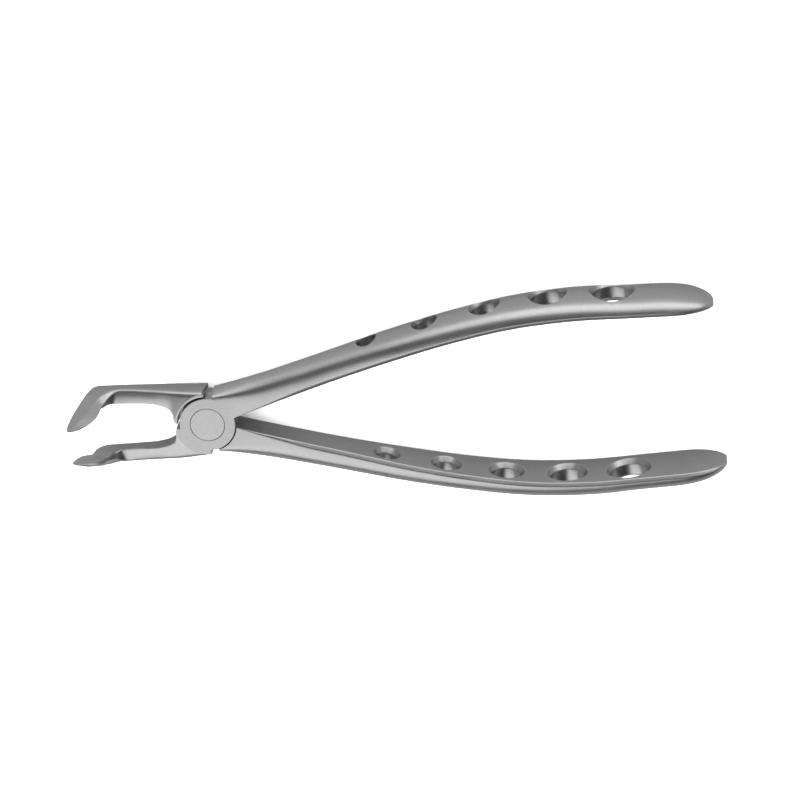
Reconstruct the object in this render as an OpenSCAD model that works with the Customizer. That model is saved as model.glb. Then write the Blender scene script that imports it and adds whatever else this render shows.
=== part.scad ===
// Extraction forceps: two crossing forged halves that turn on one flush pivot screw.
// The forceps lie flat. The pivot axis is Z and passes through the origin, which is on the
// joint's rear face. +X runs along the middle line towards the handle ends, and the beaks
// curve up, towards +Z. Both halves have the same shape, mirrored across the XZ plane,
// except at the joint, where each one is a disc of half the joint's thickness.

/* [Joint] */
// Thickness of the whole lap joint
joint_t = 7.8; // [7.6:0.1:8.2]
// Radius of each half's joint disc
disc_r = 7.5; // [7.3:0.1:7.6]
// Gap between a disc and the round recess it turns in
disc_gap = 0.3; // [0.2:0.05:0.4]
// Gap between the two discs' flat faces
lap_gap = 0.1; // [0.06:0.02:0.2]
// Width of the flat land around a recess
land_w = 1.0; // [0.8:0.1:1.2]
// Distance from the pivot's cross line to the end face of an arm, at half thickness
arm_end = 0.1; // [0:0.1:0.4]
// Lean of that end face away from the front
arm_lean = 6; // [0:1:8]
// Angle from the middle line to the face where a handle ends, beside the notch
shoulder_angle = 75; // [73:1:77]
// Distance from the middle line to the stop face on a half's own disc layer
stop_y = 0.6; // [0.5:0.1:0.8]
// Distance from the middle line to the tip of the land around the other half's disc
land_tip_y = 0.9; // [0.8:0.1:1.2]

/* [Pivot screw] */
// Radius of the flush head
head_r = 4.6; // [4.4:0.1:4.8]
// Thickness of the head
head_t = 1.6; // [1.4:0.1:1.8]
// Radius of the journal that the front half turns on
journal_r = 3.2; // [3:0.1:3.4]
// Radius of the end that is fixed in the rear half
tail_r = 2.6; // [2.4:0.1:2.8]
// Radial clearance where the front half turns on the screw
running_gap = 0.05; // [0.02:0.01:0.1]
// Radial clearance where the screw is fixed in the rear half
fixed_gap = 0.02; // [0.01:0.01:0.03]

/* [Handles] */
// How far the handle ends reach from the pivot
handle_reach = 136; // [134:0.1:138]
// Distance from the pivot at which the end starts to round off
end_start = 124; // [122:0.5:125]
// Bluntness of the rounded end: 2 is an ellipse
end_power = 2.3; // [2:0.1:3]
// Half the width of the gripping face at its widest
grip_half_w = 7.5; // [7.3:0.1:7.7]
// How far the crowned back overhangs the gripping face on each side
overhang = 0.6; // [0.4:0.1:0.8]

/* [Grip holes] */
// Number of holes in each handle
hole_count = 5; // [3:1:5]
// Distance from the pivot to the first hole
first_hole = 46.5; // [46:0.5:48]
// Distance from the first hole to the second
first_pitch = 15.5; // [15:0.1:15.8]
// How much longer each later spacing is
pitch_step = 0.3; // [0.2:0.1:0.3]
// Radius of the first hole
first_hole_r = 2.75; // [2.5:0.05:3]
// How much larger each later hole's radius is
hole_r_step = 0.6; // [0.5:0.05:0.65]
// How far the holes' axes lie in front of the handles' middle
hole_rise = 0.5; // [0:0.1:0.6]
// Width of the sloping rim round a hole in the gripping face
dish_w = 0.9; // [0.6:0.05:1]
// Depth of the sloping rims
dish_depth = 1.4; // [1.2:0.1:1.9]

/* [Hidden] */
$fn = 64;

mid_z = joint_t / 2;
rear_top_z = mid_z - lap_gap / 2;
front_bottom_z = mid_z + lap_gap / 2;
recess_r = disc_r + disc_gap;
land_r = recess_r + land_w;
margin = 1;
steel = [0.72, 0.72, 0.73];
screw_steel = [0.62, 0.62, 0.64];

// ---- curves ----

// Catmull-Rom spline through hand-picked points: u = 0 at the first, 1 at the second, ...
function clamp_index(list, i) = max(0, min(len(list) - 1, i));
function point_at(list, i) = list[clamp_index(list, i)];
function blend4(a, b, c, d, t) =
    0.5 * (2 * b + (c - a) * t + (2 * a - 5 * b + 4 * c - d) * t * t
    + (3 * b - a - 3 * c + d) * t * t * t);
function spline(list, u) =
    let (i = max(0, min(floor(u), len(list) - 2)))
    blend4(point_at(list, i - 1), list[i], list[i + 1], point_at(list, i + 2), u - i);
function ramp(v, low, high) = max(0, min(1, (v - low) / (high - low)));

// A closed solid through rings of points. Each ring has the same number of points and
// turns the same way, anticlockwise when seen from the last ring.
module loft(rings) {
    n = len(rings[0]);
    m = len(rings);
    points = [for (ring = rings) for (p = ring) p];
    sides = [for (i = [0:m - 2]) for (j = [0:n - 1])
        let (a = i * n + j, b = i * n + (j + 1) % n)
        for (face = [[a, a + n, b], [b, a + n, b + n]]) face];
    start_cap = [for (j = [1:n - 2]) [0, j, j + 1]];
    last = (m - 1) * n;
    end_cap = [for (j = [1:n - 2]) [last, last + j + 1, last + j]];
    polyhedron(points = points, faces = concat(sides, start_cap, end_cap));
}

// ---- handles ----

// Gripping face, seen along the pivot: [distance from pivot, distance from middle line]
grip_line = [[4, 0.3], [20, 5.4], [36, 10.3], [52, 15], [68, 19], [84, 21.9], [100, 23],
    [116, 22.7], [132, 22.3], [148, 22.3]];
grip_step = 16;
// Thickness and half width at the same places
handle_thickness = [8.9, 7.5, 6.9, 6.5, 6.2, 6.1, 6, 5.6];
handle_half_w = [3.75, 4.05, 4.5, 5.6, 6.3, 6.9, 7.3, grip_half_w];
// Share of the thickness, at the same places, over which each side is flat
side_flat = [0.88, 0.5, 0.32, 0.2, 0.1, 0.04, 0, 0];
// Share of the back's ellipse that is left out there, so that the back starts at a slant
back_lean = [0, 0, 0, 0.03, 0.12, 0.2, 0.25, 0.25];
// Bevel between the gripping face and the sides, which grows from the joint outwards
bevel_depth = 1.1;
bevel_start = 8;
bevel_end = 26;
least_bevel = 0.08;

function grip_u(x) = (x - grip_line[0][0]) / grip_step;
function along(list, x) = spline(list, min(grip_u(x), len(list) - 1));
function grip_point(x) = spline(grip_line, grip_u(x));
function grip_slope(x) =
    let (d = grip_point(x + 0.5) - grip_point(x - 0.5)) atan2(d[1], d[0]);
// The end narrows and thins as a blunt ellipse
function end_round(x, from) =
    pow(max(0, 1 - pow(ramp(x, from, handle_reach + 0.2), end_power)), 1 / end_power);
function thickness(x) = along(handle_thickness, x) * end_round(x, end_start - 4);
function half_w(x) = along(handle_half_w, x) * end_round(x, end_start);

// One cross-section, at right angles to the gripping face: the face, a bevel on each side,
// flat sides, and an elliptical back
crown_steps = 6;
function handle_ring(x) =
    let (t = thickness(x), w = half_w(x), p = grip_point(x), a = grip_slope(x),
        grown = max(least_bevel, ramp(x, bevel_start, bevel_end)) * end_round(x, end_start),
        bevel = bevel_depth * grown, side = w + overhang * grown,
        lean = max(0, along(back_lean, x)),
        first = asin(lean + (1 - lean) * max(0, along(side_flat, x))),
        back = [for (k = [0:crown_steps])
            let (q = first + (90 - first) * k / crown_steps)
            [bevel + (t - bevel) * (sin(q) - lean) / (1 - lean), side * cos(q) / cos(first)]],
        half = concat([[bevel, side]], back),
        count = len(half),
        upper = [for (k = [count - 1:-1:0]) half[k]],
        lower = [for (k = [0:count - 2]) [half[k][0], -half[k][1]]],
        outline = concat([[0, w], [0, -w]], lower, upper))
    [for (q = outline) [p[0] - q[0] * sin(a), p[1] + q[0] * cos(a), mid_z + q[1]]];

function hole_x(i) = first_hole + i * first_pitch + pitch_step * i * (i - 1) / 2;
function hole_r(i) = first_hole_r + i * hole_r_step;
// The rim on the back is a mere break on the first hole and full on the last
function back_dish_w(i) = dish_w * (i + 0.6) / (hole_count - 0.4);

module grip_hole(i) {
    x = hole_x(i);
    p = grip_point(x);
    t = thickness(x);
    slope = dish_w / dish_depth;
    back_slope = back_dish_w(i) / dish_depth;
    translate([p[0], p[1], mid_z + hole_rise]) rotate([0, 0, grip_slope(x)]) rotate([-90, 0, 0]) {
        translate([0, 0, -margin]) cylinder(h = t + 2 * margin, r = hole_r(i));
        translate([0, 0, -margin])
            cylinder(h = dish_depth + margin, r1 = hole_r(i) + dish_w + slope * margin, r2 = hole_r(i));
        translate([0, 0, t - dish_depth])
            cylinder(h = dish_depth + margin, r1 = hole_r(i),
                r2 = hole_r(i) + back_dish_w(i) + back_slope * margin);
    }
}

// Handle on the +Y side
module handle() {
    body_x = [for (k = [0:24]) grip_line[0][0] + (end_start - grip_line[0][0]) * k / 24];
    end_x = [for (q = [15, 30, 45, 60, 72, 84]) end_start + (handle_reach - end_start) * sin(q)];
    difference() {
        loft([for (x = concat(body_x, end_x)) handle_ring(x)]);
        for (i = [0:hole_count - 1]) grip_hole(i);
        rotate([0, 0, shoulder_angle]) translate([0, 0, -margin])
            cube([2 * disc_r, 2 * disc_r, joint_t + 2 * margin]);
    }
}

// ---- arms and beaks ----

// Seven edges of an arm and its beak, from the joint to the tip, on the +Y side
outer_rear = [[3, 8.8, 0], [-3, 9.1, 0], [-7, 9.4, 0], [-10.5, 9.6, 0], [-15, 9.8, 0], [-20, 10.1, 0],
    [-25, 10.3, 0], [-29.4, 10.4, 0], [-31.3, 10.1, 1], [-32.4, 9.4, 3], [-33.5, 8.5, 5.6],
    [-34.7, 7.4, 8.4], [-35.7, 6.3, 11.6], [-36.3, 5.4, 14.4], [-36.1, 4.8, 16.2]];
outer_front = [[3, 9.1, 6.8], [-3, 9.5, 6.6], [-7, 9.9, 6.2], [-10.5, 10.2, 5.6], [-15, 10.4, 4.7],
    [-20, 10.6, 4.1], [-23.5, 10.7, 3.9], [-25.8, 10.5, 4.6], [-27.4, 10.1, 6.1], [-28.6, 9.6, 7.6],
    [-29.6, 8.9, 9.8], [-30.9, 7.8, 12.3], [-32.5, 6.8, 14.4], [-34, 5.7, 15.9], [-35.3, 5, 16.6]];
bevel_front = [[3, 8.3, 7.5], [-3, 8.7, 7.4], [-7, 9.1, 7], [-10.5, 9.5, 6.5], [-15, 9.9, 5.5],
    [-20, 10.2, 4.7], [-23.4, 10.3, 4.5], [-25.5, 9.3, 5.6], [-26.7, 8.4, 7.2], [-27.5, 7.8, 8.8],
    [-27.8, 7.1, 10.6], [-28.4, 6.8, 13], [-29.9, 6.2, 14.9], [-32.1, 5.6, 16.4], [-34.6, 5, 17.1]];
inner_front = [[-4, 0.7, 7.7], [-8.4, 1, 7.7], [-9.1, 3.6, 7.5], [-10.4, 5.2, 6.9], [-14.6, 6.4, 6.1],
    [-20, 6.6, 5.2], [-24, 6.7, 4.9], [-25.8, 7, 5.4], [-26.9, 7.4, 7], [-27.6, 7.5, 8.7],
    [-28, 6.8, 10.6], [-28.6, 6.5, 12.9], [-30.1, 5.9, 14.8], [-32.2, 5.4, 16.4], [-34.7, 4.9, 17.1]];
grip_front = [[-4, 0.6, 7.3], [-8.4, 0.9, 7.3], [-9.1, 3.5, 7.1], [-10.4, 5.1, 6.5], [-14.6, 6.3, 5.7],
    [-20, 6.5, 4.8], [-24.1, 6.6, 4.5], [-26.1, 6.7, 5], [-27.2, 6.8, 6.9], [-27.9, 7, 8.6],
    [-28.3, 6.3, 10.5], [-28.9, 6, 12.8], [-30.3, 5.5, 14.7], [-32.3, 5, 16.3], [-34.7, 4.7, 17.1]];
grip_middle = [[-4, 0.7, 4], [-8.4, 1, 4], [-9.2, 3.7, 4], [-10.6, 5.4, 3.5], [-14.8, 6.5, 3],
    [-20.2, 6.8, 2.5], [-25, 6.9, 2.4], [-27.4, 7, 3.2], [-28.6, 7.2, 5.2], [-29.4, 7.5, 7.4],
    [-30.4, 6.9, 9.9], [-31.7, 6.1, 12.1], [-33.2, 5.5, 14.2], [-34.2, 5, 15.7], [-35.2, 4.6, 16.7]];
grip_rear = [[-4, 0.7, 0], [-8.5, 1.2, 0], [-9.5, 4.2, 0], [-11, 5.9, 0], [-15, 6.9, 0], [-20.4, 7, 0],
    [-26, 7, 0], [-30, 7, 0.2], [-32.4, 7.6, 0.9], [-33.4, 8, 3.2], [-34.3, 7, 5.8],
    [-35.2, 6, 8.6], [-35.9, 5.3, 11.9], [-36.2, 4.9, 14.4], [-36, 4.6, 16.3]];
steps_per_span = 3;
// How far the arm's front bulges, and where the bulge grows and runs out along the edges
front_bulge = 0.15;
bulge_start = [1, 4];
bulge_end = [6, 8];

function arm_ring(u) =
    let (a = spline(outer_rear, u), b = spline(outer_front, u), c = spline(bevel_front, u),
        d = spline(inner_front, u), e = spline(grip_front, u), f = spline(grip_middle, u),
        g = spline(grip_rear, u), middle = (c + d) / 2,
        outward = (middle - f) / norm(middle - f),
        rise = front_bulge * ramp(u, bulge_start[0], bulge_start[1])
            * (1 - ramp(u, bulge_end[0], bulge_end[1])),
        bulge = middle + outward * rise)
    [a, g, f, e, d, bulge, c, b];

// Arm and beak on the +Y side
module arm() {
    spans = len(outer_rear) - 1;
    difference() {
        loft([for (k = [0:spans * steps_per_span]) arm_ring(k / steps_per_span)]);
        translate([-arm_end, -margin, mid_z]) rotate([0, -arm_lean, 0])
            translate([0, 0, -joint_t]) cube([2 * disc_r, 3 * disc_r, 2 * joint_t]);
    }
}

// Flat land round the recess, with the stop face on the half's own layer at own_z
module land(own_z) {
    height = joint_t;
    difference() {
        intersection() {
            cylinder(h = height, r = land_r);
            translate([-disc_r - 1, stop_y, 0]) cube([disc_r + 1, land_r, height]);
        }
        translate([-2 * disc_r, 0, own_z == 0 ? rear_top_z : -margin])
            cube([2 * disc_r, land_tip_y, own_z == 0 ? height : front_bottom_z + margin]);
    }
}

// ---- the three pieces ----

module rear_half() color(steel) difference() {
    union() {
        cylinder(h = rear_top_z, r = disc_r);
        mirror([0, 1, 0]) handle();
        arm();
        land(0);
    }
    translate([0, 0, rear_top_z]) cylinder(h = joint_t, r = recess_r);
    translate([0, 0, -margin]) cylinder(h = joint_t, r = tail_r + fixed_gap);
}

module front_half() color(steel) difference() {
    union() {
        translate([0, 0, front_bottom_z]) cylinder(h = joint_t - front_bottom_z, r = disc_r);
        handle();
        mirror([0, 1, 0]) {
            arm();
            land(1);
        }
    }
    translate([0, 0, -margin]) cylinder(h = front_bottom_z + margin, r = recess_r);
    cylinder(h = joint_t + margin, r = journal_r + running_gap);
    translate([0, 0, joint_t - head_t - lap_gap / 2])
        cylinder(h = head_t + margin, r = head_r + running_gap);
}

module pivot_screw() color(screw_steel) {
    cylinder(h = rear_top_z, r = tail_r);
    translate([0, 0, rear_top_z]) cylinder(h = joint_t - head_t - rear_top_z, r = journal_r);
    translate([0, 0, joint_t - head_t]) cylinder(h = head_t, r = head_r);
}

rear_half();
front_half();
pivot_screw();
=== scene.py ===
import math

import bmesh
import bpy
import numpy as np
from mathutils import Matrix, Vector


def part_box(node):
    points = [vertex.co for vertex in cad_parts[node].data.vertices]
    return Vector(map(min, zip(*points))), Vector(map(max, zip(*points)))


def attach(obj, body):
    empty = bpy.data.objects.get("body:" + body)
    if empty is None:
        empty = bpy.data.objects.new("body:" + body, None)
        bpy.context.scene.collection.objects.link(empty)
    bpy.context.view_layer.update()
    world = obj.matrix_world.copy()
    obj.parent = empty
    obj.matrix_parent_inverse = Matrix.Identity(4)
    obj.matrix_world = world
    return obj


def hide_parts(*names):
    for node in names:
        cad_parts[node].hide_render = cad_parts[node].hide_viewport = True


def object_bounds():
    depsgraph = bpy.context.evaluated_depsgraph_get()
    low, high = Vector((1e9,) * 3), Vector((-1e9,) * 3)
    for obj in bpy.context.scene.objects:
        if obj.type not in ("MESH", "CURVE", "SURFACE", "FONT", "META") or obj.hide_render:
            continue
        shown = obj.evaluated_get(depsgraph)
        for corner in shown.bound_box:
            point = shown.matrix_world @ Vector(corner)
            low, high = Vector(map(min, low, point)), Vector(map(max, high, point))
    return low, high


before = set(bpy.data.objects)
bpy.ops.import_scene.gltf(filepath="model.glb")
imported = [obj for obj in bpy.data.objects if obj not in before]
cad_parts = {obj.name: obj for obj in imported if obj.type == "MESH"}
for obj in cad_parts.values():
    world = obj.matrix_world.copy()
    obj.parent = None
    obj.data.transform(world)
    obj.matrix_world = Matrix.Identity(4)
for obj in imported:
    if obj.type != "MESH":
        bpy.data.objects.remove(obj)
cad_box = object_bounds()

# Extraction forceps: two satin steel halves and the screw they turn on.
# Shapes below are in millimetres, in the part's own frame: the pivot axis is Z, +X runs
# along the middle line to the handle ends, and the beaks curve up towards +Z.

MM = 0.001

# ---- sizes ----

JOINT_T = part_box("pivot_screw")[1].z / MM
HEAD_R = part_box("pivot_screw")[1].x / MM
MID_Z = JOINT_T / 2
LAP_GAP = 0.1
REAR_TOP_Z = MID_Z - LAP_GAP / 2
DISC_R = 7.5
RECESS_R = DISC_R + 0.42
RECESS_SHIFT = 0.13
LAND_R = DISC_R + 1.3
HEAD_T = 1.6
JOURNAL_R = 3.2
TAIL_R = 2.6
RUNNING_GAP = 0.05
FIXED_GAP = 0.02
ARM_END = 0.1        # the arm stops this far short of the pivot
ARM_LEAN = 6
SHOULDER_ANGLE = 75
STOP_Y = 0.6
LAND_TIP_Y = 0.95
LAND_END_X = 8.5
RIM = 0.1            # rounding of the discs' and lands' outer edges
BREAK = 0.06         # chamfer along bores and recesses
HEAD_ROUND = 0.09
MARGIN = 1.0         # how far a cutter runs on past the surface it cuts
SHARP_ANGLE = 28     # edges that turn by more than this stay crisp

HANDLE_REACH = 136
END_START = 124
END_THIN_START = 120
END_CLOSE = 136.2    # where the curves of the rounded end would meet
END_POWER = 2.3
END_ANGLES = range(4, 89, 4)
OVERHANG = 0.6
# The gripping face seen from above, with a point every GRIP_STEP along X
GRIP_LINE = [(4, 0.3), (20, 5.4), (36, 10.3), (52, 15), (68, 19), (84, 21.9), (100, 23),
             (116, 22.7), (132, 22.3), (148, 22.3)]
GRIP_STEP = 16
SLOPE_SPAN = 0.5
# At the first points of that line, from the joint to the end
HANDLE_THICKNESS = [8.9, 7.5, 6.9, 6.5, 6.2, 6.1, 6, 5.6]
HANDLE_HALF_W = [3.84, 4.05, 4.5, 5.6, 6.3, 6.9, 7.3, 7.5]
SIDE_FLAT = [0.88, 0.5, 0.32, 0.2, 0.1, 0.04, 0, 0]
BACK_LEAN = [0, 0, 0, 0.05, 0.2, 0.33, 0.42, 0.45]
BLEND_POWER = [14, 9, 8, 7, 6, 6, 6, 6]    # how tightly the flat sides turn into the back
FACE_ROUND = 0.25
BEVEL_ROUND = 0.3
BEVEL_DEPTH = 1.1
BEVEL_START = 8
BEVEL_END = 26
LEAST_BEVEL = 0.08
HANDLE_STATIONS = 150
BACK_STEPS = 30

HOLE_COUNT = 5
FIRST_HOLE = 46.5
FIRST_PITCH = 15.5
PITCH_STEP = 0.3
FIRST_HOLE_R = 2.75
HOLE_R_STEP = 0.6
HOLE_RISE = 0.5
DISH_W = 0.9
DISH_DEPTH = 1.4
DISH_LIP = 0.16
DISH_LIP_ROUND = 0.24
BORE_ROUND = 0.12
HOLE_STEPS = 96
BACK_DISH_LEAD = 0.6
MARK_REACH = 0.5     # how far outside a dish the turning marks are looked for

# Seven edges of an arm and its beak, from the joint to the tip, on the +Y side
OUTER_REAR = [
    (3, 8.8, 0), (-3, 9.1, 0), (-7, 9.4, 0), (-10.5, 9.6, 0), (-15, 9.8, 0), (-20, 10.1, 0),
    (-25, 10.3, 0), (-29.8, 10.4, 0), (-31.2, 10.1, 1.1), (-32.4, 9.4, 3), (-33.5, 8.5, 5.6),
    (-34.7, 7.4, 8.4), (-35.7, 6.3, 11.6), (-36.3, 5.4, 14.4), (-36.1, 4.8, 16.2)]
OUTER_FRONT = [
    (3, 9.1, 6.8), (-3, 9.5, 6.6), (-7, 9.9, 6.2), (-10.5, 10.2, 5.6), (-15, 10.4, 4.7),
    (-20, 10.6, 4.1), (-23.5, 10.7, 3.9), (-25.8, 10.5, 4.6), (-27.4, 10.1, 6.1),
    (-28.6, 9.6, 7.6), (-29.6, 8.9, 9.8), (-30.9, 7.8, 12.3), (-32.5, 6.8, 14.4),
    (-34, 5.7, 15.9), (-35.3, 5, 16.6)]
BEVEL_FRONT = [
    (3, 8.3, 7.5), (-3, 8.7, 7.4), (-7, 9.1, 7), (-10.5, 9.5, 6.5), (-15, 9.9, 5.5),
    (-20, 10.2, 4.7), (-23.4, 10.3, 4.5), (-25.5, 9.3, 5.6), (-26.7, 8.4, 7.2),
    (-27.5, 7.8, 8.8), (-27.8, 7.1, 10.6), (-28.4, 6.8, 13), (-29.9, 6.2, 14.9),
    (-32.1, 5.6, 16.4), (-34.6, 5, 17.1)]
INNER_FRONT = [
    (-4, 0.7, 7.78), (-8.4, 1, 7.78), (-9.1, 3.6, 7.5), (-10.4, 5.2, 6.9), (-14.6, 6.4, 6.1),
    (-20, 6.6, 5.2), (-24, 6.7, 4.9), (-25.8, 7, 5.4), (-26.9, 7.4, 7), (-27.6, 7.5, 8.7),
    (-28, 6.8, 10.6), (-28.6, 6.5, 12.9), (-30.1, 5.9, 14.8), (-32.2, 5.4, 16.4),
    (-34.7, 4.9, 17.1)]
GRIP_FRONT = [
    (-4, 0.6, 7.3), (-8.4, 0.9, 7.3), (-9.1, 3.5, 7.1), (-10.4, 5.1, 6.5), (-14.6, 6.3, 5.7),
    (-20, 6.5, 4.8), (-24.1, 6.6, 4.5), (-26.1, 6.7, 5), (-27.2, 6.8, 6.9), (-27.9, 7, 8.6),
    (-28.3, 6.3, 10.5), (-28.9, 6, 12.8), (-30.3, 5.5, 14.7), (-32.3, 5, 16.3),
    (-34.7, 4.7, 17.1)]
GRIP_MIDDLE = [
    (-4, 0.7, 4), (-8.4, 1, 4), (-9.2, 3.7, 4), (-10.6, 5.4, 3.5), (-14.8, 6.5, 3),
    (-20.2, 6.8, 2.5), (-25, 6.9, 2.4), (-27.4, 7, 3.2), (-28.6, 7.2, 5.2), (-29.4, 7.5, 7.4),
    (-30.4, 6.9, 9.9), (-31.7, 6.1, 12.1), (-33.2, 5.5, 14.2), (-34.2, 5, 15.7),
    (-35.2, 4.6, 16.7)]
GRIP_REAR = [
    (-4, 0.7, 0), (-8.5, 1.2, 0), (-9.5, 4.2, 0), (-11, 5.9, 0), (-15, 6.9, 0),
    (-20.4, 7, 0), (-26, 7, 0), (-30, 7, 0.2), (-32.4, 7.6, 0.9), (-33.4, 8, 3.2),
    (-34.3, 7, 5.8), (-35.2, 6, 8.6), (-35.9, 5.3, 11.9), (-36.2, 4.9, 14.4),
    (-36, 4.6, 16.3)]
STEPS_PER_SPAN = 9
FRONT_BULGE = 0.15
BULGE_START = (1, 4)
BULGE_END = (6, 8)
BULGE_STEPS = 8
RIDGE_ROUND = (1.3, 0.2)    # on the arm, and on the beak
EDGE_ROUND = [0.35, 0.3, 0.3, 0.16, 0.16]


# ---- curves ----

def spline(points, u):
    """Catmull-Rom spline through listed points: u = 0 at the first, 1 at the second."""
    last = len(points) - 1
    i = max(0, min(math.floor(u), last - 1))
    a, b, c, d = (np.array(points[max(0, min(k, last))], float) for k in range(i - 1, i + 3))
    t = u - i
    return 0.5 * (2 * b + (c - a) * t + (2 * a - 5 * b + 4 * c - d) * t ** 2
                  + (3 * b - a - 3 * c + d) * t ** 3)


def ramp(value, low, high):
    return max(0.0, min(1.0, (value - low) / (high - low)))


def soften(ring, reaches, steps=5, closed=True):
    """Replaces each corner that has a reach with a smooth curve that starts and ends
    that far from it, or a little short of half-way to the next corner if that is nearer.
    The other points stay."""
    ring = [np.array(p, float) for p in ring]
    count = len(ring)
    out = []
    for k, p in enumerate(ring):
        ends = not closed and k in (0, count - 1)
        if reaches[k] <= 0 or ends:
            out.append(p)
            continue
        sides = []
        for q in (ring[k - 1], ring[(k + 1) % count]):
            gap = np.linalg.norm(q - p)
            sides.append(p + (q - p) * min(0.45, reaches[k] / max(gap, 1e-6)))
        for s in range(steps + 1):
            t = s / steps
            out.append((1 - t) ** 2 * sides[0] + 2 * t * (1 - t) * p + t * t * sides[1])
    return out


# ---- solids ----

def make_object(name, points, faces, material):
    mesh = bpy.data.meshes.new(name)
    mesh.from_pydata([tuple(c * MM for c in p) for p in points], [], faces)
    mesh.materials.append(material)
    work = bmesh.new()
    work.from_mesh(mesh)
    bmesh.ops.recalc_face_normals(work, faces=work.faces)
    work.to_mesh(mesh)
    work.free()
    piece = bpy.data.objects.new(name, mesh)
    bpy.context.scene.collection.objects.link(piece)
    return piece


def loft(name, rings, material):
    """A closed solid through rings with the same number of points."""
    n = len(rings[0])
    points = [p for ring in rings for p in ring]
    faces = []
    for i in range(len(rings) - 1):
        for j in range(n):
            k = (j + 1) % n
            faces.append((i * n + j, (i + 1) * n + j, (i + 1) * n + k, i * n + k))
    for start in (0, (len(rings) - 1) * n):
        centre = len(points)
        points.append(np.mean(rings[start // n], axis=0))
        faces += [(centre, start + j, start + (j + 1) % n) for j in range(n)]
    return make_object(name, points, faces, material)


def lathe(name, profile, material, steps=128):
    """A solid of revolution about Z. The profile is (radius, height) from axis to axis."""
    rings = profile[1:-1]
    points = []
    for r, z in rings:
        for k in range(steps):
            angle = 2 * math.pi * k / steps
            points.append((r * math.cos(angle), r * math.sin(angle), z))
    faces = [tuple(range(steps)), tuple(range(len(points) - steps, len(points)))]
    for i in range(len(rings) - 1):
        for k in range(steps):
            a, b = i * steps + k, i * steps + (k + 1) % steps
            faces.append((a, b, b + steps, a + steps))
    return make_object(name, points, faces, material)


def block(name, low, high, material, turn=0):
    corners = [(x, y, z) for x in (low[0], high[0]) for y in (low[1], high[1])
               for z in (low[2], high[2])]
    c, s = math.cos(math.radians(turn)), math.sin(math.radians(turn))
    points = [(x * c - y * s, x * s + y * c, z) for x, y, z in corners]
    faces = [(0, 1, 3, 2), (4, 6, 7, 5), (0, 4, 5, 1), (2, 3, 7, 6), (0, 2, 6, 4), (1, 5, 7, 3)]
    return make_object(name, points, faces, material)


def apply_modifiers(piece):
    bpy.context.view_layer.update()
    seen = piece.evaluated_get(bpy.context.evaluated_depsgraph_get())
    result = bpy.data.meshes.new_from_object(seen)
    piece.modifiers.clear()
    old, piece.data = piece.data, result
    bpy.data.meshes.remove(old)


def combine(target, others, operation):
    """Adds, cuts or intersects target with each of the others, which are used up."""
    for other in others:
        step = target.modifiers.new("combine", "BOOLEAN")
        step.operation = operation
        step.solver = "EXACT"
        step.material_mode = "TRANSFER"
        step.object = other
        apply_modifiers(target)
        bpy.data.objects.remove(other)
    return target


def mirror_y(piece):
    piece.data.transform(Matrix.Scale(-1, 4, (0, 1, 0)))
    piece.data.flip_normals()


# ---- materials ----

def add_node(tree, kind, inputs=(), **settings):
    node = tree.nodes.new(kind)
    for key, value in settings.items():
        setattr(node, key, value)
    for key, value in dict(inputs).items():
        if isinstance(value, bpy.types.NodeSocket):
            tree.links.new(value, node.inputs[key])
        else:
            node.inputs[key].default_value = value
    return node


def remap(tree, value, low, high, to_low, to_high):
    node = add_node(tree, "ShaderNodeMapRange", {
        "Value": value, "From Min": low, "From Max": high, "To Min": to_low, "To Max": to_high})
    return node.outputs["Result"]


def noise(tree, place, scale, detail, roughness):
    node = add_node(tree, "ShaderNodeTexNoise", {
        "Vector": place, "Scale": scale, "Detail": detail, "Roughness": roughness})
    return node.outputs["Fac"]


def vary(tree, pattern, middle, swing):
    """Turns a noise pattern into values from middle - swing to middle + swing."""
    return remap(tree, pattern, 0.3, 0.7, middle - swing, middle + swing)


def calculate(tree, operation, first, second):
    return add_node(tree, "ShaderNodeMath", {0: first, 1: second},
                    operation=operation).outputs[0]


EDGE_RADIUS = 0.22 * MM
# Painted highlight: how much the tone brightens along edges
EDGE_HIGHLIGHT_TONE = 0.28
EDGE_POLISH = 0.06
RING_HEIGHT = 0.04 * MM
GRAIN_HEIGHT = 0.02 * MM


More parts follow.
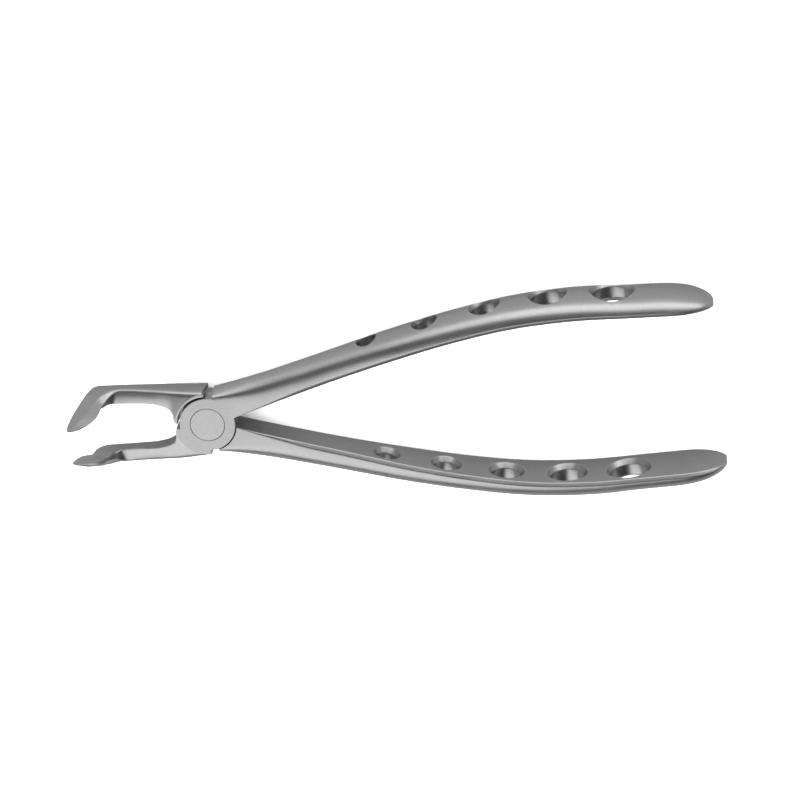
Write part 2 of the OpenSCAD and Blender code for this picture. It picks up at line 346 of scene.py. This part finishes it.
def steel(name, tone, roughness, grain, turned=0.0):
    """Satin blasted stainless steel. Edges are smoother, and carry a painted highlight: their
    tone is brighter. The grain is a fine even bump. Turned steel has fine rings at right angles
    to the hole's axis."""
    material = bpy.data.materials.new(name)
    material.use_nodes = True
    tree = material.node_tree
    shader = tree.nodes["Principled BSDF"]
    shader.inputs["Metallic"].default_value = 1.0
    place = add_node(tree, "ShaderNodeTexCoord").outputs["Object"]
    fine = noise(tree, place, 5200, 3, 0.6)
    grit = noise(tree, place, 1500, 4, 0.55)
    broad = noise(tree, place, 90, 3, 0.5)
    # Edges: where the rounded normal turns away from the true one
    rounded = add_node(tree, "ShaderNodeBevel", {"Radius": EDGE_RADIUS},
                       samples=6).outputs["Normal"]
    flat = add_node(tree, "ShaderNodeNewGeometry").outputs["Normal"]
    turn = add_node(tree, "ShaderNodeVectorMath", {0: rounded, 1: flat}, operation="DOT_PRODUCT")
    edge = remap(tree, turn.outputs["Value"], 0.995, 0.9, 0, 1)
    shade = calculate(tree, "ADD", vary(tree, broad, 0, 0.02), vary(tree, grit, tone, 0.02))
    # Painted highlight: edges get a brighter tone
    shade = calculate(tree, "ADD", shade, remap(tree, edge, 0, 1, 0, EDGE_HIGHLIGHT_TONE))
    # A trace more blue than red and green
    colour = add_node(tree, "ShaderNodeCombineColor", {
        "Red": shade, "Green": shade, "Blue": remap(tree, shade, 0, 1, 0.002, 1.01)})
    tree.links.new(colour.outputs["Color"], shader.inputs["Base Color"])
    rough = calculate(tree, "ADD", vary(tree, broad, roughness, 0.025),
                      remap(tree, edge, 0, 1, 0, -EDGE_POLISH))
    tree.links.new(rough, shader.inputs["Roughness"])
    height = calculate(tree, "ADD", fine, grit)
    normal = rounded
    if turned:
        depth = add_node(tree, "ShaderNodeAttribute", attribute_name="hole_depth").outputs["Fac"]
        rings = add_node(tree, "ShaderNodeTexNoise", {
            "W": depth, "Scale": 2600, "Detail": 3, "Roughness": 0.7}, noise_dimensions="1D")
        cut = add_node(tree, "ShaderNodeBump", {
            "Strength": turned, "Distance": RING_HEIGHT, "Height": rings.outputs["Fac"],
            "Normal": rounded})
        normal = cut.outputs["Normal"]
    bump = add_node(tree, "ShaderNodeBump", {
        "Strength": grain, "Distance": GRAIN_HEIGHT, "Height": height, "Normal": normal})
    tree.links.new(bump.outputs["Normal"], shader.inputs["Normal"])
    return material


satin = steel("satin_steel", tone=0.45, roughness=0.35, grain=0.35)
turned = steel("turned_steel", tone=0.44, roughness=0.33, grain=0.25, turned=0.8)
screw_satin = steel("screw_steel", tone=0.45, roughness=0.33, grain=0.3)


# ---- handles ----

def grip_u(x):
    return (x - GRIP_LINE[0][0]) / GRIP_STEP


def grip_point(x):
    return spline(GRIP_LINE, grip_u(x))


def grip_slope(x):
    run, rise = grip_point(x + SLOPE_SPAN) - grip_point(x - SLOPE_SPAN)
    return math.atan2(rise, run)


def end_round(x, start):
    """The end narrows and thins as a blunt ellipse from start onwards."""
    return max(0.0, 1 - ramp(x, start, END_CLOSE) ** END_POWER) ** (1 / END_POWER)


def along(values, x):
    return float(spline(values, min(grip_u(x), len(values) - 1)))


def thickness(x):
    return along(HANDLE_THICKNESS, x) * end_round(x, END_THIN_START)


def half_width(x):
    return along(HANDLE_HALF_W, x) * end_round(x, END_START)


def handle_ring(x):
    """One cross-section, at right angles to the gripping face: the face, a bevel on each
    side, flat sides, and an elliptical back that blends into them."""
    deep, wide = thickness(x), half_width(x)
    face_x, face_y = grip_point(x)
    angle = grip_slope(x)
    grown = max(LEAST_BEVEL, ramp(x, BEVEL_START, BEVEL_END)) * end_round(x, END_START)
    bevel = BEVEL_DEPTH * grown
    side = wide + OVERHANG * grown
    lean = max(0, along(BACK_LEAN, x))
    power = along(BLEND_POWER, x)

    def ellipse(share):
        return math.sqrt(max(0, 1 - (lean + (1 - lean) * share) ** 2))

    def width_at(share):
        crown = ellipse(share) / ellipse(max(0, along(SIDE_FLAT, x)))
        return crown / (1 + crown ** power) ** (1 / power)

    upper = []
    for k in range(BACK_STEPS):
        share = math.sin(math.pi / 2 * k / BACK_STEPS)
        upper.append((bevel + (deep - bevel) * share, side * width_at(share) / width_at(0)))
    lower = [(out, -z) for out, z in upper]
    outline = [(0, wide), (0, -wide)] + lower + [(deep, 0)] + upper[::-1]
    reach = [FACE_ROUND, FACE_ROUND, BEVEL_ROUND] + [0] * (len(outline) - 4) + [BEVEL_ROUND]
    return [(face_x - out * math.sin(angle), face_y + out * math.cos(angle), MID_Z + z)
            for out, z in soften(outline, reach)]


def hole_x(i):
    return FIRST_HOLE + i * FIRST_PITCH + PITCH_STEP * i * (i - 1) / 2


def hole_r(i):
    return FIRST_HOLE_R + i * HOLE_R_STEP


def hole_frame(i):
    """Places the hole's own axis, from the gripping face outwards, in the handle."""
    x, y = grip_point(hole_x(i))
    return (Matrix.Translation((x * MM, y * MM, (MID_Z + HOLE_RISE) * MM))
            @ Matrix.Rotation(grip_slope(hole_x(i)), 4, "Z")
            @ Matrix.Rotation(-math.pi / 2, 4, "X"))


def hole_cutter(i):
    """Dished on both faces. The dish on the back grows from hole to hole."""
    radius, back = hole_r(i), thickness(hole_x(i))
    wide = radius + DISH_W
    back_dish_w = DISH_W * (i + BACK_DISH_LEAD) / (HOLE_COUNT - 1 + BACK_DISH_LEAD)
    back_end = radius + back_dish_w * (1 + MARGIN / DISH_DEPTH)
    corners = [(0, -MARGIN), (wide + DISH_LIP, -MARGIN), (wide + DISH_LIP, 0), (wide, 0),
               (radius, DISH_DEPTH), (radius, back - DISH_DEPTH),
               (back_end, back + MARGIN), (0, back + MARGIN)]
    reach = [0, 0, 0, DISH_LIP_ROUND, BORE_ROUND, BORE_ROUND, 0, 0]
    profile = soften(corners, reach, closed=False)
    cutter = lathe(f"hole_{i}", profile, turned, steps=HOLE_STEPS)
    cutter.data.transform(hole_frame(i))
    return cutter


def handle():
    start = GRIP_LINE[0][0]
    body_x = [start + (END_START - start) * k / HANDLE_STATIONS
              for k in range(HANDLE_STATIONS + 1)]
    end_x = [END_START + (HANDLE_REACH - END_START) * math.sin(math.radians(angle))
             for angle in END_ANGLES]
    piece = loft("handle", [handle_ring(x) for x in body_x + end_x], satin)
    size = 2 * DISC_R
    notch = block("notch", (0, 0, -MARGIN), (size, size, JOINT_T + MARGIN), satin, SHOULDER_ANGLE)
    return combine(piece, [hole_cutter(i) for i in range(HOLE_COUNT)] + [notch], "DIFFERENCE")


# ---- arms and beaks ----

def arm_ring(u):
    """One cross-section through the seven edges. The front between the inner edge and the
    bevel swells a little along the arm."""
    outer_rear, outer_front, bevel_front, inner_front, grip_front, grip_middle, grip_rear = (
        spline(edge, u) for edge in (OUTER_REAR, OUTER_FRONT, BEVEL_FRONT, INNER_FRONT,
                                     GRIP_FRONT, GRIP_MIDDLE, GRIP_REAR))
    outward = (bevel_front + inner_front) / 2 - grip_middle
    outward = outward / np.linalg.norm(outward)
    beak = ramp(u, *BULGE_END)
    rise = FRONT_BULGE * ramp(u, *BULGE_START) * (1 - beak)
    bulge = []
    for k in range(1, BULGE_STEPS - 2):    # the last steps are left to the ridge's rounding
        share = k / BULGE_STEPS
        straight = inner_front + (bevel_front - inner_front) * share
        bulge.append(straight + outward * rise * 4 * share * (1 - share))
    ring = ([outer_rear, grip_rear, grip_middle, grip_front, inner_front] + bulge
            + [bevel_front, outer_front])
    on_arm, on_beak = RIDGE_ROUND
    ridge = on_arm - (on_arm - on_beak) * beak
    reach = EDGE_ROUND + [0] * len(bulge) + [ridge, ridge]
    return soften(ring, reach, steps=4)


def arm():
    spans = len(OUTER_REAR) - 1
    rings = [arm_ring(k / STEPS_PER_SPAN) for k in range(spans * STEPS_PER_SPAN + 1)]
    piece = loft("arm", rings, satin)
    beyond = block("beyond", (0, -MARGIN, -JOINT_T), (2 * DISC_R, 3 * DISC_R, JOINT_T), satin)
    lean = Matrix.Rotation(math.radians(-ARM_LEAN), 4, "Y")
    beyond.data.transform(Matrix.Translation((-ARM_END * MM, 0, MID_Z * MM)) @ lean)
    return combine(piece, [beyond], "DIFFERENCE")


# ---- the joint ----

def layer(profile, flipped):
    """The same profile, turned over from top to bottom when flipped."""
    return [(r, JOINT_T - z) for r, z in profile] if flipped else profile


def disc(flipped):
    profile = [(0, 0), (DISC_R, 0), (DISC_R, REAR_TOP_Z), (0, REAR_TOP_Z)]
    rounded = soften(profile, [0, RIM, BREAK, 0], closed=False)
    return lathe("disc", layer(rounded, flipped), satin)


def land(flipped):
    """Flat land round the recess, with the stop face on the half's own layer."""
    profile = [(0, 0), (LAND_R, 0), (LAND_R, JOINT_T), (0, JOINT_T)]
    rounded = soften(profile, [0, RIM, RIM, 0], closed=False)
    piece = lathe("land", layer(rounded, flipped), satin)
    keep = block("keep", (-LAND_END_X, STOP_Y, -MARGIN), (0, LAND_R + MARGIN, JOINT_T + MARGIN),
                 satin)
    combine(piece, [keep], "INTERSECT")
    low, high = (-MARGIN, JOINT_T - REAR_TOP_Z) if flipped else (REAR_TOP_Z, JOINT_T + MARGIN)
    tip = block("tip", (-2 * DISC_R, 0, low), (MARGIN, LAND_TIP_Y, high), satin)
    return combine(piece, [tip], "DIFFERENCE")


def pocket(radius, low):
    """Profile of a round hole from low up through the top face, with a chamfered mouth."""
    flare = BREAK + MARGIN
    return [(0, low), (radius, low), (radius, JOINT_T - BREAK),
            (radius + flare, JOINT_T + MARGIN), (0, JOINT_T + MARGIN)]


def recess(flipped):
    """The other half's disc turns in this. It is a little off the pivot, so that the gap is
    wider on one side."""
    piece = lathe("recess", layer(pocket(RECESS_R, REAR_TOP_Z), flipped), satin)
    shift = -RECESS_SHIFT if flipped else RECESS_SHIFT
    piece.data.transform(Matrix.Translation((-RECESS_SHIFT * MM, shift * MM, 0)))
    return piece


def mark_holes(piece, mirrored):
    """Gives each point of a hole's wall its depth along the hole, for the turning marks."""
    depth = piece.data.attributes.new("hole_depth", "FLOAT", "POINT")
    points = np.zeros(len(piece.data.vertices) * 3, np.float32)
    piece.data.vertices.foreach_get("co", points)
    points = points.reshape(-1, 3).astype(float)
    if mirrored:
        points[:, 1] *= -1
    values = np.zeros(len(points))
    for i in range(HOLE_COUNT):
        inverse = np.array(hole_frame(i).inverted())
        local = points @ inverse[:3, :3].T + inverse[:3, 3]
        reach = (hole_r(i) + DISH_W + MARK_REACH) * MM
        near = np.hypot(local[:, 0], local[:, 1]) < reach
        values[near] = local[near, 2]
    depth.data.foreach_set("value", values.astype(np.float32))


def smooth(piece):
    """Smooth shading that keeps the flat faces flat and the cut edges crisp."""
    mesh = piece.data
    mesh.polygons.foreach_set("use_smooth", [True] * len(mesh.polygons))
    mesh.set_sharp_from_angle(angle=math.radians(SHARP_ANGLE))
    weighted = piece.modifiers.new("weighted", "WEIGHTED_NORMAL")
    weighted.keep_sharp = True
    apply_modifiers(piece)
    return piece


def half(name, flipped, bores):
    """One forging. The rear half's handle is on the -Y side, the front half's on +Y."""
    grip, beak, ledge = handle(), arm(), land(flipped)
    if flipped:
        mirror_y(beak)
        mirror_y(ledge)
    else:
        mirror_y(grip)
    piece = combine(disc(flipped), [ledge, beak, grip], "UNION")
    combine(piece, [recess(flipped)] + bores, "DIFFERENCE")
    mark_holes(piece, mirrored=not flipped)
    piece.name = name
    piece.data.name = name
    return smooth(piece)


def rear_half():
    tail = layer(pocket(TAIL_R + FIXED_GAP, 0), True)
    return half("rear_half_forging", False, [lathe("tail_bore", tail, satin)])


def front_half():
    radius = JOURNAL_R + RUNNING_GAP
    shank = [(0, -MARGIN), (radius, -MARGIN), (radius, JOINT_T), (0, JOINT_T)]
    head = pocket(HEAD_R + RUNNING_GAP, JOINT_T - HEAD_T - LAP_GAP / 2)
    return half("front_half_forging", True, [lathe("shank_bore", shank, satin),
                                             lathe("head_bore", head, satin)])


def pivot_screw():
    neck = JOINT_T - HEAD_T
    profile = [(0, 0), (TAIL_R, 0), (TAIL_R, REAR_TOP_Z), (JOURNAL_R, REAR_TOP_Z),
               (JOURNAL_R, neck), (HEAD_R, neck), (HEAD_R, JOINT_T), (0, JOINT_T)]
    reach = [0, BREAK, 0, BREAK, 0, BREAK, HEAD_ROUND, 0]
    piece = lathe("joint_screw", soften(profile, reach, closed=False), screw_satin)
    return smooth(piece)


for piece, body, node, slot in (
        (rear_half(), "rear", "rear_half", "rear_half_steel"),
        (front_half(), "front", "front_half", "front_half_steel"),
        (pivot_screw(), "rear", "pivot_screw", "screw_steel")):
    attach(piece, body)
    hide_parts(node)


# ---- camera, floor and light ----

# The view is square to a frame in which the forceps lie turned by this angle
VIEW_TURN = Matrix.Rotation(math.radians(-6.65), 3, "Z")
CAMERA_PLACE = (117.0, 373.5, 818.24)
CAMERA_TARGET = (51.1, 7.37, 3.9)
LENS = 151.9
FLOOR_Z = cad_box[0][2] / MM
STUDIO_REACH = 4000


def aim(thing, place, target, up):
    """Puts a camera or a light at place, looking at target."""
    place, target, up = (VIEW_TURN @ Vector(v) for v in (place, target, up))
    forward = (target - place).normalized()
    right = forward.cross(up).normalized()
    turn = Matrix((right, right.cross(forward), -forward)).transposed()
    thing.matrix_world = Matrix.Translation(place * MM) @ turn.to_4x4()
    bpy.context.scene.collection.objects.link(thing)
    return thing


def softbox(name, elevation, towards_y, distance, width, span_x, radiance, seen=True):
    """A rectangular studio light over the object. radiance is what a mirror would show."""
    data = bpy.data.lights.new(name, "AREA")
    data.shape = "RECTANGLE"
    data.size, data.size_y = (span_x[1] - span_x[0]) * MM, width * MM
    data.energy = radiance * math.pi * data.size * data.size_y
    light = bpy.data.objects.new(name, data)
    light.visible_glossy = seen
    angle = math.radians(elevation)
    middle_x = (span_x[0] + span_x[1]) / 2
    place = (middle_x, towards_y * distance * math.cos(angle), distance * math.sin(angle))
    up = (0, -towards_y * math.sin(angle), math.cos(angle))
    return aim(light, place, (middle_x, 0, 0), up)


camera_data = bpy.data.cameras.new("camera")
camera_data.lens = LENS
camera_data.sensor_width = 36
camera_data.clip_start = 0.01
camera = aim(bpy.data.objects.new("camera", camera_data), CAMERA_PLACE, CAMERA_TARGET, (0, 1, 0))
bpy.context.scene.camera = camera

softbox("far_softbox", 51, -1, 1000, 890, (-1500, 180), 1.55)
softbox("near_softbox", 31, 1, 1000, 750, (-550, 1550), 1.5)
softbox("floor_fill", 90, 1, 1500, 3600, (-1750, 1850), 4.2, seen=False)


def plain(name, tone, glow=0.0):
    """A matt surface with no reflections, or one that only glows."""
    material = bpy.data.materials.new(name)
    material.use_nodes = True
    shader = material.node_tree.nodes["Principled BSDF"]
    shader.inputs["Base Color"].default_value = (tone, tone, tone, 1)
    shader.inputs["Roughness"].default_value = 0.9
    shader.inputs["Specular IOR Level"].default_value = 0.0
    shader.inputs["Emission Color"].default_value = (1, 1, 1, 1)
    shader.inputs["Emission Strength"].default_value = glow
    return material


def sheet(name, half_size, z, material):
    corners = [(-1, -1), (1, -1), (1, 1), (-1, 1)]
    return make_object(name, [(x * half_size, y * half_size, z) for x, y in corners],
                       [(0, 1, 2, 3)], material)


# The floor that is seen, and just above it a darker one that only the steel reflects
floor = sheet("floor", STUDIO_REACH, FLOOR_Z, plain("floor", 0.9))
floor.visible_glossy = False
dark_floor = sheet("dark_floor", STUDIO_REACH, FLOOR_Z + 0.02, plain("dark_floor", 0.18))
dark_floor.visible_camera = dark_floor.visible_diffuse = dark_floor.visible_shadow = False
# A pale wall all round, for low views
wall = lathe("wall", [(0, -STUDIO_REACH), (STUDIO_REACH, -STUDIO_REACH),
                      (STUDIO_REACH, STUDIO_REACH), (0, STUDIO_REACH)], plain("wall", 0, 1))
wall.visible_glossy = wall.visible_diffuse = wall.visible_shadow = False


def studio_world():
    """What the steel reflects beside the lights: a dark room, lighter near the horizon
    towards +Y."""
    world = bpy.data.worlds.new("studio")
    world.use_nodes = True
    tree = world.node_tree
    background = tree.nodes["Background"]
    direction = add_node(tree, "ShaderNodeTexCoord").outputs["Generated"]
    axes = add_node(tree, "ShaderNodeSeparateXYZ", {"Vector": direction})
    side = remap(tree, axes.outputs["Y"], -0.2, 0.6, 0.15, 0.9)
    height = remap(tree, axes.outputs["Z"], 0.05, 0.6, 1.0, 0.2)
    room = calculate(tree, "MULTIPLY", side, height)
    tree.links.new(room, background.inputs["Color"])
    bpy.context.scene.world = world


studio_world()
bpy.context.scene.view_settings.view_transform = "Standard"
